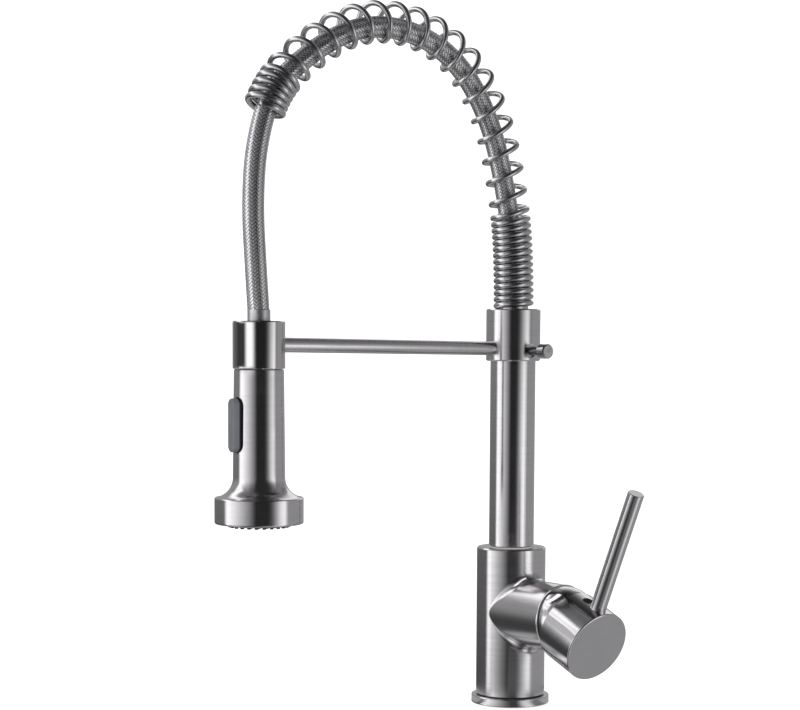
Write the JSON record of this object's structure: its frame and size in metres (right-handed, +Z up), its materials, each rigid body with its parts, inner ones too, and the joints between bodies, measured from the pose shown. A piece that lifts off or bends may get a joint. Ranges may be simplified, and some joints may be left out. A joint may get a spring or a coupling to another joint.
{
  "type": "kitchen mixer tap",
  "caption": "Single-lever kitchen mixer tap with a swivelling column, a sprung hose arch, a docking arm and a pull-down spray head with a rocker button.",
  "frame": {"origin": "on the column's axis at the deck's surface, where the base ring seats and the mounting shank begins", "axes": "+Z up along the column, -Y towards the spray head and the user, +X towards the lever"},
  "size_m": [0.1524, 0.2532, 0.5127],
  "materials": {
    "brushed_nickel": "brushed nickel plate",
    "polished_nickel": "polished nickel plate",
    "spring_steel": "satin spring wire",
    "hose_braid": "stainless wire braid over a rubber hose",
    "plain_steel": "plain steel",
    "brass": "turned brass",
    "black_rubber": "matt rubber",
    "dark_plastic": "dark moulded plastic",
    "button_grey": "dark grey satin plastic",
    "white_nylon": "moulded nylon"
  },
  "bodies": {
    "fixed_body": {"base_ring": "brushed_nickel", "base_gasket": "black_rubber", "body_seal_ring": "black_rubber", "mounting_shank": "brass", "body_shell": "brushed_nickel", "swivel_bearing": "white_nylon", "cartridge_base_seal": "black_rubber", "cartridge_housing": "white_nylon", "cartridge_nut": "brass", "bonnet_dome": "polished_nickel"},
    "temperature_rotor": {"cartridge_rotor": "white_nylon", "lever_pivot_pin": "plain_steel"},
    "lever": {"lever_stem": "brass", "lever_cap": "brushed_nickel", "lever_rod": "brushed_nickel", "cap_plug": "black_rubber"},
    "spout": {"column": "brushed_nickel", "spigot_orings": "black_rubber", "collar": "brushed_nickel", "hose_nipple": "plain_steel", "arm": "brushed_nickel", "dock_ring": "polished_nickel", "dock_liner": "dark_plastic", "spring": "spring_steel", "hose": "hose_braid"},
    "clamp": {"clamp_screw": "plain_steel", "clamp_knob": "brushed_nickel"},
    "spray_head": {"head_shell": "brushed_nickel", "head_neck": "dark_plastic", "hose_ferrule": "plain_steel", "head_valve": "white_nylon", "face_plate": "dark_plastic", "face_nozzles": "black_rubber", "aerator": "polished_nickel", "button_seal": "black_rubber"},
    "button": {"spray_button": "button_grey"}
  },
  "joints": [
    {"name": "spout_swivel", "type": "hinge", "parent": "fixed_body", "child": "spout", "pos_m": [0, 0, 0.1], "axis": [0, 0, 1], "continuous": true},
    {"name": "temperature_turn", "type": "hinge", "parent": "fixed_body", "child": "temperature_rotor", "pos_m": [0.055, 0, 0.062], "axis": [1, 0, 0], "range_deg": [-45, 45]},
    {"name": "lever_tilt", "type": "hinge", "parent": "temperature_rotor", "child": "lever", "pos_m": [0.055, 0, 0.062], "axis": [0, 1, 0], "range_deg": [-21.7, 0]},
    {"name": "clamp_turn", "type": "hinge", "parent": "spout", "child": "clamp", "pos_m": [0.018, 0, 0.2357], "axis": [1, 0, 0], "continuous": true},
    {"name": "head_pull", "type": "slide", "parent": "spout", "child": "spray_head", "axis": [0, 0, -1], "range_m": [0, 0.06], "stiffness_N_per_m": 60, "springref_m": -0.13, "deforming": ["hose", "spring"]},
    {"name": "button_rock", "type": "hinge", "parent": "spray_head", "child": "button", "pos_m": [0, -0.2143, 0.1916], "axis": [1, 0, 0], "range_deg": [-3.5, 3.5]}
  ]
}
